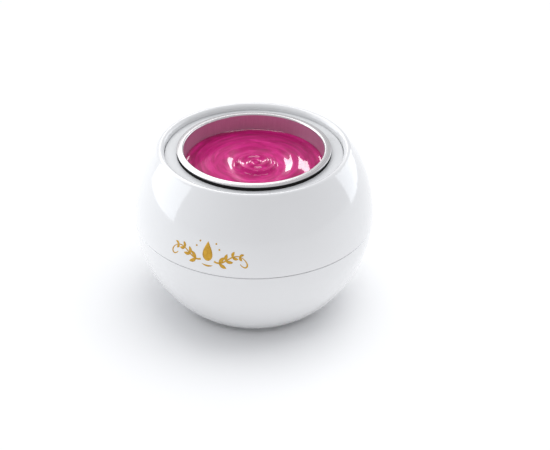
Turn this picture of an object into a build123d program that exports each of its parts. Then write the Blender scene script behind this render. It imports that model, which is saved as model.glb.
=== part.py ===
from build123d import *
import math
import os

# Wax warmer pot: a ball-shaped casing in two shells, with a lift-out wax cup in a heated well.
# Millimetres, +Z up. The origin is on the ball's axis at the undersides of the feet, the front is -Y
# and the power inlet is at the rear, +Y.

# ---------------------------------------------------------------- driving dimensions
BALL_RADIUS = 62.5  # casing
CASING_WALL = 2.5
FOOT_HEIGHT = 1.5  # how far the feet stand out of the underside
UNDERSIDE_DROP = 50.5  # ball's centre down to the flat underside
EQUATOR = UNDERSIDE_DROP + FOOT_HEIGHT
UNDERSIDE_CORNER = 4.0  # round edge between ball and underside

SEAM_DROP = 2.1  # ball's centre down to the middle of the seam
SEAM_GAP = 0.25
SEAM_CHAMFER = 0.2
TONGUE_RADIUS = 59.7  # outer face of the base's tongue
TONGUE_WALL = 1.5
TONGUE_RISE = 3.5  # above the middle of the seam

LIP_RISE = 38.2  # ball's centre up to the crest of the lip
LIP_RADIUS = 2.2
SKIRT_WALL = 2.2
SKIRT_DEPTH = 12.2  # crest of the lip down to the skirt's lower edge
LEDGE_WIDTH = 0.85
LEDGE_HEIGHT = 2.0

DECK_DROP = 3.2  # crest of the lip down to the collar's top
COLLAR_THICKNESS = 2.0
COLLAR_CLEARANCE = 0.1
COLLAR_STEP = 1.4  # from the deck down to the ledge that the seat ring lies on
COLLAR_STEP_RADIUS = 39.6
COLLAR_STEP_WALL = 1.5
COLLAR_HOLE_RADIUS = 37.5
COLLAR_BOSS_RADIUS = 1.9

SEAT_RING_RADIUS = 39.4
SEAT_RING_HEIGHT = 3.0
GASKET_HEIGHT = 3.0

CUP_MOUTH_RADIUS = 36.2  # inside
CUP_FLOOR_RADIUS = 34.4  # inside, where wall and floor would meet
CUP_SHEET = 0.7
RIM_RADIUS = 39.65
RIM_CORNER = 0.85  # between the wall and the rim's crown
RIM_FALL = 0.53  # crown of the rim down to its outer edge
CUP_CORNER = 5.0
CUP_REST_GAP = 0.08
CUP_DEPTH = 42.0  # top of the rim down to the cup's underside
WAX_DROP = 10.0  # top of the rim down to the wax

WELL_RADIUS = 37.4  # inside
WELL_WALL = 1.5
WELL_FLOOR = 2.0
WELL_FLOOR_GAP = 0.4  # under the cup
WELL_FLANGE_RADIUS = 45.2
WELL_SCREW_CIRCLE = 43.1
WELL_BOSS_RADIUS = 3.0
WELL_BOSS_HEIGHT = 2.5

PTC_SIZE = (35.0, 21.0, 5.0)
PAD_THICKNESS = 0.5
STRAP_WIDTH = 12.0
STRAP_SHEET = 1.0
STRAP_SCREW_Y = 15.5
STRAP_FOOT_END = 19.0

THERMOSTAT_AT = (18.0, -21.0)
THERMOSTAT_EAR = 12.0  # centre to each bracket screw
FUSE_AT = (16.0, 22.0)
FUSE_RADIUS = 2.2
FUSE_LENGTH = 12.0

SHIELD_RADIUS = 45.0  # inside
SHIELD_SHEET = 0.6
SHIELD_TOP = 72.0
SHIELD_SCREW_CIRCLE = 38.0
SHIELD_SCREW_ANGLES = (60, 180, 300)
FRAME_TOP = 33.4
FRAME_THICKNESS = 2.4
FRAME_RADIUS = 46.5
FRAME_EAR_RADIUS = 4.0
FRAME_WINDOW_RADIUS = 14.0
CASING_BOSS_CIRCLE = 51.0
CASING_BOSS_RADIUS = 3.4
POST_CIRCLE = 28.0
POST_RADIUS = 3.6
POST_FOOT = 10.0  # where the frame's posts meet the base's bosses
QUARTER_ANGLES = (45, 135, 225, 315)

FOOT_RADIUS = 5.0
FOOT_RECESS = 1.0
SCREW_SEAT = 7.0  # height of the housing screws' heads in the base
BASE_BOSS_RADIUS = 5.0
VENT_COUNT = 10

FRAME_SCREW_RADIUS = 1.25
FRAME_SCREW_LENGTH = 13.0
HOUSING_SCREW_RADIUS = 1.4
HOUSING_SCREW_LENGTH = 11.0
SMALL_SCREW_RADIUS = 1.2  # strap, thermostat, fuse clip and shield
SMALL_SCREW_HEAD = 2.4
SMALL_SCREW_HOLE = 1.45
WELL_SCREW_RADIUS = 1.0

GROMMET_AT = (0.0, 4.0)
GROMMET_BORE = 3.4
LEAD_RADIUS = 1.0
LEAD_OFFSET = 1.3  # each side of the grommet's centre

PANEL_Y = 49.5  # rear pockets' flat floor, out from the axis
PANEL_WALL = 2.5
PANEL_Z = 23.0
POCKET_WALL = 2.2
POCKET_HEIGHT = 13.0
INLET_POCKET_WIDTH = 24.0
SWITCH_POCKET_WIDTH = 18.0
SWITCH_ANGLE = 26.0  # round from the rear towards -X

PIN_RADIUS = 1.18
PIN_SPACING = 8.6
ROCKER_PIVOT_Y = 48.2
ROCKER_REST_ANGLE = -11.0  # off position; on is 22 degrees further
FIT_GAP = 0.02  # round things in their holes

# ---------------------------------------------------------------- levels that follow
SEAM_Z = EQUATOR - SEAM_DROP
LIP_TOP = EQUATOR + LIP_RISE
DECK_TOP = LIP_TOP - DECK_DROP
COLLAR_UNDERSIDE = DECK_TOP - COLLAR_THICKNESS
LEDGE_TOP = DECK_TOP - COLLAR_STEP
LEDGE_UNDERSIDE = LEDGE_TOP - COLLAR_THICKNESS
RIM_CROWN = CUP_MOUTH_RADIUS + RIM_CORNER  # radius at which the rim is highest
RIM_ARC = ((RIM_RADIUS - RIM_CROWN) ** 2 + RIM_FALL**2) / (2 * RIM_FALL)
RIM_TURN = math.degrees(math.asin((RIM_RADIUS - RIM_CROWN) / RIM_ARC))  # slope at its outer edge
RIM_EDGE_DROP = RIM_ARC - (RIM_ARC - CUP_SHEET / 2) * math.cos(math.radians(RIM_TURN))  # to the edge's middle
RIM_TOP = LEDGE_TOP + SEAT_RING_HEIGHT + CUP_REST_GAP + RIM_EDGE_DROP + CUP_SHEET / 2
WALL_TOP = RIM_TOP - RIM_CORNER
CUP_UNDERSIDE = RIM_TOP - CUP_DEPTH
WAX_TOP = RIM_TOP - WAX_DROP
WELL_UNDERSIDE = CUP_UNDERSIDE - WELL_FLOOR_GAP - WELL_FLOOR
WELL_BOSS_FACE = WELL_UNDERSIDE - WELL_BOSS_HEIGHT
FLANGE_TOP = LEDGE_UNDERSIDE - GASKET_HEIGHT
PTC_UNDERSIDE = WELL_UNDERSIDE - PAD_THICKNESS - PTC_SIZE[2]
SHIELD_FLOOR = FRAME_TOP + SHIELD_SHEET
FRAME_UNDERSIDE = FRAME_TOP - FRAME_THICKNESS
INSIDE_BALL = BALL_RADIUS - CASING_WALL
BASE_FLOOR_TOP = FOOT_HEIGHT + CASING_WALL
FLAT = (Align.CENTER, Align.CENTER, Align.MIN)


# ---------------------------------------------------------------- helpers
def cylinder(radius, low, high, at=(0, 0)):
    """An upright cylinder between two heights."""
    return Pos(at[0], at[1], low) * Cylinder(radius, high - low, align=FLAT)


def ring(inside, outside, low, high, at=(0, 0)):
    return cylinder(outside, low, high, at) - cylinder(inside, low - 1, high + 1, at)


def block(x_range, y_range, z_range):
    """A box given by its limits along X, Y and Z."""
    size = [high - low for low, high in (x_range, y_range, z_range)]
    middle = [(high + low) / 2 for low, high in (x_range, y_range, z_range)]
    return Pos(*middle) * Box(*size)


def polar(radius, angle):
    return radius * math.cos(math.radians(angle)), radius * math.sin(math.radians(angle))


def lathe(*outline):
    """The solid that a closed outline in radius and height sweeps about Z."""
    return revolve(Plane.XZ * make_face([edge for line in outline for edge in line.edges()]), Axis.Z)


def on_ball(radius, rise):
    """Radius and height of the point of a ball at a given rise above its centre."""
    return math.sqrt(radius**2 - rise**2), EQUATOR + rise


def ball_arc(radius, start, end):
    """Arc of the ball's section between two points on it, the bulging way."""
    from_angle, to_angle = (math.degrees(math.atan2(z - EQUATOR, r)) for r, z in (start, end))
    return CenterArc((0, EQUATOR), radius, from_angle, to_angle - from_angle)


def ball_corner(corner, rise):
    """Centre of a round edge between the casing's ball and a level face at a given rise."""
    centre_rise = rise - math.copysign(corner, rise)
    radius, height = on_ball(BALL_RADIUS - corner, centre_rise)
    angle = math.degrees(math.atan2(centre_rise, radius))
    return (radius, height), angle


def join(pieces):
    """Separate solids as one group."""
    return Compound(children=[solid for piece in pieces for solid in piece.solids()])


def rear(piece, angle):
    """Turn a piece that is drawn facing +Y round the ball's axis."""
    return Rot(0, 0, angle) * piece


def pan_screw(at, seat, shank, length, head, thickness=1.8, up=True):
    """A round-headed screw: its head's flat is at the seat and its shank points up or down."""
    crown = fillet(Cylinder(head, thickness, align=FLAT).edges().group_by(Axis.Z)[-1], thickness * 0.45)
    slot = Pos(0, 0, thickness) * (Box(head, 0.6, 1.0) + Box(0.6, head, 1.0))
    screw = crown - slot
    screw += Pos(0, 0, -length) * Cylinder(shank, length, align=FLAT)
    return Pos(at[0], at[1], seat) * Rot(180 if up else 0, 0, 0) * screw


# ---------------------------------------------------------------- casing
def upper_housing():
    lip_centre, lip_angle = ball_corner(LIP_RADIUS, LIP_RISE)
    skirt_inside = lip_centre[0] - LIP_RADIUS
    skirt_outside = skirt_inside + SKIRT_WALL
    skirt_bottom = LIP_TOP - SKIRT_DEPTH
    seam_rise = SEAM_GAP / 2 - SEAM_DROP
    seam_outer = on_ball(BALL_RADIUS, seam_rise + SEAM_CHAMFER)
    seam_inner = on_ball(INSIDE_BALL, seam_rise)
    lip_start = (BALL_RADIUS * math.cos(math.radians(lip_angle)),
                 EQUATOR + BALL_RADIUS * math.sin(math.radians(lip_angle)))
    skirt_root = (skirt_outside, EQUATOR + math.sqrt(INSIDE_BALL**2 - skirt_outside**2))
    ledge_inside = skirt_inside - LEDGE_WIDTH
    shell = lathe(
        ball_arc(BALL_RADIUS, seam_outer, lip_start),
        CenterArc(lip_centre, LIP_RADIUS, lip_angle, 180 - lip_angle),
        Polyline((skirt_inside, lip_centre[1]), (skirt_inside, COLLAR_UNDERSIDE),
                 (ledge_inside, COLLAR_UNDERSIDE), (ledge_inside, COLLAR_UNDERSIDE - LEDGE_HEIGHT),
                 (skirt_inside, COLLAR_UNDERSIDE - LEDGE_HEIGHT), (skirt_inside, skirt_bottom),
                 (skirt_outside, skirt_bottom), skirt_root),
        ball_arc(INSIDE_BALL, skirt_root, seam_inner),
        Polyline(seam_inner, (seam_outer[0] - SEAM_CHAMFER, seam_inner[1]), seam_outer),
    )
    inside = Pos(0, 0, EQUATOR) * Sphere(INSIDE_BALL + CASING_WALL / 2)  # bosses end in the wall
    for angle in QUARTER_ANGLES:
        at = polar(CASING_BOSS_CIRCLE, angle)
        shell += cylinder(CASING_BOSS_RADIUS, FRAME_TOP, LIP_TOP - 2 * LIP_RADIUS, at) & inside
        shell -= cylinder(FRAME_SCREW_RADIUS + FIT_GAP, FRAME_TOP - 1, FRAME_TOP + FRAME_SCREW_LENGTH, at)
    return shell


def pocket_block(width, angle):
    """The walls and floor of a rear pocket, trimmed to the ball."""
    half_width = width / 2 + POCKET_WALL
    half_height = POCKET_HEIGHT / 2 + POCKET_WALL
    walls = block((-half_width, half_width), (PANEL_Y - PANEL_WALL, BALL_RADIUS),
                  (PANEL_Z - half_height, PANEL_Z + half_height))
    return rear(walls, angle) & (Pos(0, 0, EQUATOR) * Sphere(BALL_RADIUS - CASING_WALL / 2))


def pocket_cut(width, angle):
    hollow = block((-width / 2, width / 2), (PANEL_Y, BALL_RADIUS + 5),
                   (PANEL_Z - POCKET_HEIGHT / 2, PANEL_Z + POCKET_HEIGHT / 2))
    return rear(fillet(hollow.edges().filter_by(Axis.Y), 2.5), angle)


def base_housing():
    corner_centre, corner_angle = ball_corner(UNDERSIDE_CORNER, -UNDERSIDE_DROP)
    seam_rise = -SEAM_GAP / 2 - SEAM_DROP
    seam_outer = on_ball(BALL_RADIUS, seam_rise - SEAM_CHAMFER)
    seam_top = EQUATOR + seam_rise
    tongue_top = SEAM_Z + TONGUE_RISE
    tongue_inside = TONGUE_RADIUS - TONGUE_WALL
    tongue_root = (tongue_inside, EQUATOR - math.sqrt(INSIDE_BALL**2 - tongue_inside**2))
    floor_edge = on_ball(INSIDE_BALL, BASE_FLOOR_TOP - EQUATOR)
    corner_start = (BALL_RADIUS * math.cos(math.radians(corner_angle)),
                    EQUATOR + BALL_RADIUS * math.sin(math.radians(corner_angle)))
    bowl = lathe(
        Polyline((tongue_inside, tongue_top), (TONGUE_RADIUS, tongue_top), (TONGUE_RADIUS, seam_top),
                 (seam_outer[0] - SEAM_CHAMFER, seam_top), seam_outer),
        ball_arc(BALL_RADIUS, seam_outer, corner_start),
        CenterArc(corner_centre, UNDERSIDE_CORNER, corner_angle, -90 - corner_angle),
        Polyline((corner_centre[0], FOOT_HEIGHT), (0, FOOT_HEIGHT), (0, BASE_FLOOR_TOP), floor_edge),
        ball_arc(INSIDE_BALL, floor_edge, tongue_root),
        Polyline(tongue_root, (tongue_inside, tongue_top)),
    )
    bowl += pocket_block(INLET_POCKET_WIDTH, 0)
    bowl += pocket_block(SWITCH_POCKET_WIDTH, SWITCH_ANGLE)
    bowl -= pocket_cut(INLET_POCKET_WIDTH, 0)
    bowl -= pocket_cut(SWITCH_POCKET_WIDTH, SWITCH_ANGLE)
    bowl -= inlet_body_outline(FIT_GAP * 4)
    bowl -= rear(switch_body_outline(FIT_GAP * 4), SWITCH_ANGLE)
    for angle in QUARTER_ANGLES:
        at = polar(POST_CIRCLE, angle)
        bowl += cylinder(BASE_BOSS_RADIUS, BASE_FLOOR_TOP, POST_FOOT, at)
        bowl -= cylinder(FOOT_RADIUS + 0.1, FOOT_HEIGHT - 1, FOOT_HEIGHT + FOOT_RECESS, at)
        bowl -= cylinder(3.1, FOOT_HEIGHT, SCREW_SEAT, at)
        bowl -= cylinder(HOUSING_SCREW_RADIUS + 0.3, SCREW_SEAT - 1, POST_FOOT + 1, at)
    for index in range(VENT_COUNT):
        slot = Pos(15, 0, FOOT_HEIGHT - 1) * extrude(SlotOverall(11, 2.2), CASING_WALL + 2)
        bowl -= Rot(0, 0, 360 / VENT_COUNT * index) * slot
    return bowl


def rim_collar():
    skirt_inside = ball_corner(LIP_RADIUS, LIP_RISE)[0][0] - LIP_RADIUS
    outside = skirt_inside - COLLAR_CLEARANCE
    step_outside = COLLAR_STEP_RADIUS + COLLAR_STEP_WALL
    deck = ring(COLLAR_STEP_RADIUS, outside, COLLAR_UNDERSIDE, DECK_TOP)
    deck = fillet(deck.edges().group_by(Axis.Z)[-1], 0.4)
    deck += ring(COLLAR_STEP_RADIUS, step_outside, LEDGE_UNDERSIDE, COLLAR_UNDERSIDE)
    deck += ring(COLLAR_HOLE_RADIUS, step_outside, LEDGE_UNDERSIDE, LEDGE_TOP)
    for angle in QUARTER_ANGLES:
        at = polar(WELL_SCREW_CIRCLE, angle)
        deck += cylinder(COLLAR_BOSS_RADIUS, FLANGE_TOP, COLLAR_UNDERSIDE, at)
        deck -= cylinder(WELL_SCREW_RADIUS + FIT_GAP, FLANGE_TOP - 1, COLLAR_UNDERSIDE + 0.9, at)
    return deck


def cup_seat_ring():
    """Black silicone ring in the collar's step, which the cup's rim rests on."""
    seat = ring(COLLAR_HOLE_RADIUS + 0.2, SEAT_RING_RADIUS, LEDGE_TOP, LEDGE_TOP + SEAT_RING_HEIGHT)
    return fillet(seat.edges().group_by(Axis.Z)[-1], 0.2)


def support_frame():
    frame = ring(FRAME_WINDOW_RADIUS, FRAME_RADIUS, FRAME_UNDERSIDE, FRAME_TOP)
    for angle in QUARTER_ANGLES:
        ear = cylinder(FRAME_EAR_RADIUS, FRAME_UNDERSIDE, FRAME_TOP, polar(CASING_BOSS_CIRCLE, angle))
        frame += ear + cylinder(POST_RADIUS, POST_FOOT, FRAME_UNDERSIDE, polar(POST_CIRCLE, angle))
        web = block((FRAME_RADIUS - 3, CASING_BOSS_CIRCLE), (-FRAME_EAR_RADIUS, FRAME_EAR_RADIUS),
                    (FRAME_UNDERSIDE, FRAME_TOP))
        frame += Rot(0, 0, angle) * web
        rib = block((POST_CIRCLE, FRAME_RADIUS - 3), (-0.9, 0.9), (FRAME_UNDERSIDE - 4, FRAME_UNDERSIDE))
        frame += Rot(0, 0, angle) * rib
    for angle in SHIELD_SCREW_ANGLES:
        at = polar(SHIELD_SCREW_CIRCLE, angle)
        frame += cylinder(3.0, FRAME_UNDERSIDE - 3.5, FRAME_UNDERSIDE, at)
        frame -= cylinder(SMALL_SCREW_RADIUS + FIT_GAP, FRAME_UNDERSIDE - 4, FRAME_TOP + 1, at)
    for angle in QUARTER_ANGLES:
        ear_at, post_at = polar(CASING_BOSS_CIRCLE, angle), polar(POST_CIRCLE, angle)
        frame -= cylinder(FRAME_SCREW_RADIUS + 0.3, FRAME_UNDERSIDE - 1, FRAME_TOP + 1, ear_at)
        frame -= cylinder(HOUSING_SCREW_RADIUS + FIT_GAP, POST_FOOT - 1, POST_FOOT + 9, post_at)
    return frame


def frame_screws():
    return join(pan_screw(polar(CASING_BOSS_CIRCLE, angle), FRAME_UNDERSIDE, FRAME_SCREW_RADIUS,
                          FRAME_SCREW_LENGTH, 2.6) for angle in QUARTER_ANGLES)


def housing_screws():
    return join(pan_screw(polar(POST_CIRCLE, angle), SCREW_SEAT, HOUSING_SCREW_RADIUS,
                          HOUSING_SCREW_LENGTH, 2.8) for angle in QUARTER_ANGLES)


def rubber_feet():
    feet = []
    for angle in QUARTER_ANGLES:
        foot = cylinder(FOOT_RADIUS, 0, FOOT_HEIGHT + FOOT_RECESS, polar(POST_CIRCLE, angle))
        feet.append(fillet(foot.edges().group_by(Axis.Z)[0], 0.5))
    return join(feet)


# ---------------------------------------------------------------- cup and wax
def cup_inner_line():
    """Section of the cup's inner face, from the axis to the top of its wall."""
    floor = CUP_UNDERSIDE + CUP_SHEET
    return FilletPolyline((0, floor), (CUP_FLOOR_RADIUS, floor), (CUP_MOUTH_RADIUS, WALL_TOP),
                          radius=CUP_CORNER)


def wax_cup():
    """Drawn cup whose rim turns outward over a crown and falls to a rounded edge."""
    crown_centre = (RIM_CROWN, RIM_TOP - RIM_ARC)
    corner_centre = (RIM_CROWN, WALL_TOP)
    inside_corner = RIM_CORNER - CUP_SHEET
    under_arc = RIM_ARC - CUP_SHEET
    edge_reach = (RIM_ARC - CUP_SHEET / 2) * math.sin(math.radians(RIM_TURN))
    edge_centre = (RIM_CROWN + edge_reach, RIM_TOP - RIM_EDGE_DROP)
    outer_line = FilletPolyline((0, CUP_UNDERSIDE), (CUP_FLOOR_RADIUS + CUP_SHEET, CUP_UNDERSIDE),
                                (CUP_MOUTH_RADIUS + CUP_SHEET, WALL_TOP), radius=CUP_CORNER + CUP_SHEET)
    return lathe(
        cup_inner_line(),
        CenterArc(corner_centre, RIM_CORNER, 180, -90),
        CenterArc(crown_centre, RIM_ARC, 90, -RIM_TURN),
        CenterArc(edge_centre, CUP_SHEET / 2, 90 - RIM_TURN, -180),
        CenterArc(crown_centre, under_arc, 90 - RIM_TURN, RIM_TURN),
        CenterArc(corner_centre, inside_corner, 90, 90),
        outer_line,
        Line((0, CUP_UNDERSIDE), (0, CUP_UNDERSIDE + CUP_SHEET)),
    )


def wax_fill():
    hollow = lathe(
        cup_inner_line(),
        Polyline((CUP_MOUTH_RADIUS, WALL_TOP), (0, WALL_TOP), (0, CUP_UNDERSIDE + CUP_SHEET)),
    )
    return hollow & cylinder(BALL_RADIUS, 0, WAX_TOP)


# ---------------------------------------------------------------- well and heater
def well_boss_places():
    """Screw bosses under the well: two for the strap, two for the thermostat, one for the fuse clip."""
    return [(0, STRAP_SCREW_Y), (0, -STRAP_SCREW_Y), *thermostat_screw_places(), fuse_screw_place()]


def thermostat_direction():
    """Unit direction across the thermostat, square to the line from the pot's axis to it."""
    reach = math.hypot(*THERMOSTAT_AT)
    return -THERMOSTAT_AT[1] / reach, THERMOSTAT_AT[0] / reach


def thermostat_screw_places():
    along = thermostat_direction()
    return [(THERMOSTAT_AT[0] + reach * along[0], THERMOSTAT_AT[1] + reach * along[1])
            for reach in (THERMOSTAT_EAR, -THERMOSTAT_EAR)]


def thermostat_turn():
    along = thermostat_direction()
    return math.degrees(math.atan2(along[1], along[0]))


def fuse_screw_place():
    return FUSE_AT[0], FUSE_AT[1] + 6.6


def heating_well():
    outside = WELL_RADIUS + WELL_WALL
    well = cylinder(outside, WELL_UNDERSIDE, LEDGE_UNDERSIDE - 0.4)
    well = fillet(well.edges().group_by(Axis.Z)[0], 3.0)
    flange = ring(outside - 0.5, WELL_FLANGE_RADIUS, FLANGE_TOP - WELL_WALL, FLANGE_TOP)
    hollow = cylinder(WELL_RADIUS, WELL_UNDERSIDE + WELL_FLOOR, LIP_TOP)
    hollow = fillet(hollow.edges().group_by(Axis.Z)[0], 2.0)
    well = well + flange - hollow
    for angle in QUARTER_ANGLES:
        at = polar(WELL_SCREW_CIRCLE, angle)
        well -= cylinder(WELL_SCREW_RADIUS + 0.2, FLANGE_TOP - 3, FLANGE_TOP + 1, at)
    for at in well_boss_places():
        well += cylinder(WELL_BOSS_RADIUS, WELL_BOSS_FACE, WELL_UNDERSIDE, at)
        tapped_to = WELL_UNDERSIDE + WELL_FLOOR - 0.6
        well -= cylinder(SMALL_SCREW_RADIUS + FIT_GAP, WELL_BOSS_FACE - 1, tapped_to, at)
    return well


def well_gasket():
    outside = WELL_RADIUS + WELL_WALL
    return ring(outside + 0.15, WELL_SCREW_CIRCLE - COLLAR_BOSS_RADIUS - 0.2, FLANGE_TOP, LEDGE_UNDERSIDE)


def well_screws():
    return join(pan_screw(polar(WELL_SCREW_CIRCLE, angle), FLANGE_TOP - WELL_WALL, WELL_SCREW_RADIUS,
                          5.2, 1.9, 1.5) for angle in QUARTER_ANGLES)


def thermal_pad():
    return block((-PTC_SIZE[0] / 2, PTC_SIZE[0] / 2), (-PTC_SIZE[1] / 2, PTC_SIZE[1] / 2),
                 (WELL_UNDERSIDE - PAD_THICKNESS, WELL_UNDERSIDE))


def ptc_element():
    body = block((-PTC_SIZE[0] / 2, PTC_SIZE[0] / 2), (-PTC_SIZE[1] / 2, PTC_SIZE[1] / 2),
                 (PTC_UNDERSIDE, PTC_UNDERSIDE + PTC_SIZE[2]))
    return fillet(body.edges().filter_by(Axis.X), 0.8)


def heater_clamp():
    """Hat-shaped strap across the heater, drawn as a section in Y and Z and given its width along X."""
    half = PTC_SIZE[1] / 2 + 0.3
    low = PTC_UNDERSIDE - STRAP_SHEET
    foot = WELL_BOSS_FACE - STRAP_SHEET
    outline = Polyline((-STRAP_FOOT_END, WELL_BOSS_FACE), (-half, WELL_BOSS_FACE), (-half, PTC_UNDERSIDE),
                       (half, PTC_UNDERSIDE), (half, WELL_BOSS_FACE), (STRAP_FOOT_END, WELL_BOSS_FACE),
                       (STRAP_FOOT_END, foot), (half + STRAP_SHEET, foot), (half + STRAP_SHEET, low),
                       (-half - STRAP_SHEET, low), (-half - STRAP_SHEET, foot), (-STRAP_FOOT_END, foot),
                       close=True)
    strap = extrude(Plane.YZ * make_face(outline.edges()), STRAP_WIDTH / 2, both=True)
    for y in (-STRAP_SCREW_Y, STRAP_SCREW_Y):
        strap -= cylinder(SMALL_SCREW_HOLE, foot - 1, WELL_BOSS_FACE + 1, (0, y))
    return strap


def clamp_screws():
    return join(pan_screw((0, y), WELL_BOSS_FACE - STRAP_SHEET, SMALL_SCREW_RADIUS, 4.5, SMALL_SCREW_HEAD)
                for y in (-STRAP_SCREW_Y, STRAP_SCREW_Y))


# ---------------------------------------------------------------- thermostat and fuse
THERMOSTAT_CAP_UNDERSIDE = WELL_UNDERSIDE - 5.0
THERMOSTAT_UNDERSIDE = WELL_UNDERSIDE - 10.6
THERMOSTAT_TAB_Z = THERMOSTAT_UNDERSIDE + 1.8
BRACKET_SHEET = 0.8
CLIP_SHEET = 0.6


def at_thermostat(piece):
    return Pos(THERMOSTAT_AT[0], THERMOSTAT_AT[1], 0) * Rot(0, 0, thermostat_turn()) * piece


def thermostat_tab_blocks():
    """Two flat tabs, one each way, with their roots inside the body."""
    return [block((way * 11.0 - 4.6, way * 11.0 + 4.6), (-3.15, 3.15),
                  (THERMOSTAT_TAB_Z - 0.4, THERMOSTAT_TAB_Z + 0.4)) for way in (-1, 1)]


def thermostat_cap():
    rim = cylinder(8.0, WELL_BOSS_FACE, WELL_UNDERSIDE)
    skirt = cylinder(7.5, THERMOSTAT_CAP_UNDERSIDE, WELL_BOSS_FACE)
    return at_thermostat(fillet(rim.edges().group_by(Axis.Z)[-1], 0.5) + skirt)


def thermostat_body():
    body = cylinder(7.4, THERMOSTAT_UNDERSIDE, THERMOSTAT_CAP_UNDERSIDE)
    for tab in thermostat_tab_blocks():
        body -= tab
    return at_thermostat(body)


def thermostat_tabs():
    return join(at_thermostat(tab) for tab in thermostat_tab_blocks())


def thermostat_bracket():
    low = WELL_BOSS_FACE - BRACKET_SHEET
    plate = Pos(0, 0, low) * extrude(SlotCenterToCenter(2 * THERMOSTAT_EAR, 7), BRACKET_SHEET)
    plate += cylinder(9.6, low, WELL_BOSS_FACE)
    plate -= cylinder(7.6, low - 1, WELL_BOSS_FACE + 1)
    for way in (-1, 1):
        plate -= cylinder(SMALL_SCREW_HOLE, low - 1, WELL_BOSS_FACE + 1, (way * THERMOSTAT_EAR, 0))
    return at_thermostat(plate)


def thermostat_screws():
    return join(pan_screw(at, WELL_BOSS_FACE - BRACKET_SHEET, SMALL_SCREW_RADIUS, 4.5, SMALL_SCREW_HEAD)
                for at in thermostat_screw_places())


def fuse_height():
    return WELL_UNDERSIDE - FUSE_RADIUS - 0.1


def thermal_fuse():
    body = Pos(FUSE_AT[0], FUSE_AT[1], fuse_height()) * Rot(0, 90, 0) * Cylinder(FUSE_RADIUS, FUSE_LENGTH)
    return fillet(body.edges(), 0.7)


def fuse_clip():
    """Spring clip round the underside of the fuse, with a foot under the well's boss."""
    inside = FUSE_RADIUS + 0.03
    width = (FUSE_AT[0] - 2.5, FUSE_AT[0] + 2.5)
    hug = Cylinder(inside + CLIP_SHEET, width[1] - width[0]) - Cylinder(inside, 2 * FUSE_LENGTH)
    hug = Rot(0, 90, 0) * hug & block((-10, 10), (-10, 10), (-10, 0))
    clip = Pos(FUSE_AT[0], FUSE_AT[1], fuse_height()) * hug
    foot_y = FUSE_AT[1] + inside
    low = WELL_BOSS_FACE - CLIP_SHEET
    clip += block(width, (foot_y, foot_y + CLIP_SHEET), (low, fuse_height()))
    clip += block(width, (foot_y, fuse_screw_place()[1] + 3), (low, WELL_BOSS_FACE))
    return clip - cylinder(SMALL_SCREW_HOLE, 0, LIP_TOP, fuse_screw_place())


def fuse_screw():
    return pan_screw(fuse_screw_place(), WELL_BOSS_FACE - CLIP_SHEET, SMALL_SCREW_RADIUS, 4.2,
                     SMALL_SCREW_HEAD)


# ---------------------------------------------------------------- insulation and shield
def insulation_sleeve():
    return ring(WELL_RADIUS + WELL_WALL + 0.3, SHIELD_RADIUS - 0.5, WELL_UNDERSIDE + 2, FLANGE_TOP - 4.5)


def heat_shield():
    pan = cylinder(SHIELD_RADIUS + SHIELD_SHEET, FRAME_TOP, SHIELD_TOP)
    pan = fillet(pan.edges().group_by(Axis.Z)[0], 3.0 + SHIELD_SHEET)
    hollow = cylinder(SHIELD_RADIUS, SHIELD_FLOOR, SHIELD_TOP + 5)
    pan -= fillet(hollow.edges().group_by(Axis.Z)[0], 3.0)
    for angle in SHIELD_SCREW_ANGLES:
        pan -= cylinder(1.5, FRAME_TOP - 1, SHIELD_FLOOR + 1, polar(SHIELD_SCREW_CIRCLE, angle))
    return pan - cylinder(GROMMET_BORE + 1.1, FRAME_TOP - 1, SHIELD_FLOOR + 1, GROMMET_AT)


def shield_screws():
    return join(pan_screw(polar(SHIELD_SCREW_CIRCLE, angle), SHIELD_FLOOR, SMALL_SCREW_RADIUS, 5.5,
                          SMALL_SCREW_HEAD, 1.6, up=False) for angle in SHIELD_SCREW_ANGLES)


def wire_grommet():
    """A ring with a groove that the shield's floor sits in."""
    grommet = ring(GROMMET_BORE, GROMMET_BORE + 2.4, FRAME_TOP - 1.1, SHIELD_FLOOR + 1.1, GROMMET_AT)
    groove = (FRAME_TOP - FIT_GAP, SHIELD_FLOOR + FIT_GAP)
    return grommet - ring(GROMMET_BORE + 1.08, GROMMET_BORE + 5, *groove, GROMMET_AT)


# ---------------------------------------------------------------- inlet and switch
INLET_FACE = PANEL_Y + 1.6
INLET_BACK = 36.0
INLET_CAVITY_DEPTH = 11.0
SWITCH_BACK = 37.5
SWITCH_FACE = PANEL_Y + 1.5
TAB_LENGTH = 6.0


def inlet_body_outline(grow=0.0):
    half_width = 9.0 + grow
    half_height = 5.3 + grow
    return block((-half_width, half_width), (INLET_BACK, PANEL_Y),
                 (PANEL_Z - half_height, PANEL_Z + half_height))


def pin_places():
    return -PIN_SPACING / 2, PIN_SPACING / 2


def inlet_socket():
    flange = block((-11, 11), (PANEL_Y, INLET_FACE), (PANEL_Z - 6.2, PANEL_Z + 6.2))
    socket = fillet(flange.edges().filter_by(Axis.Y), 2.0) + inlet_body_outline()
    mouth = Plane.XZ * SlotOverall(14.6, 8.2)
    cavity = Pos(0, INLET_FACE + 1, PANEL_Z) * extrude(mouth, INLET_CAVITY_DEPTH + 1)
    socket -= cavity
    for x in pin_places():
        socket -= Pos(x, INLET_BACK, PANEL_Z) * Rot(90, 0, 0) * Cylinder(PIN_RADIUS + FIT_GAP, 30)
    return socket


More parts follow.
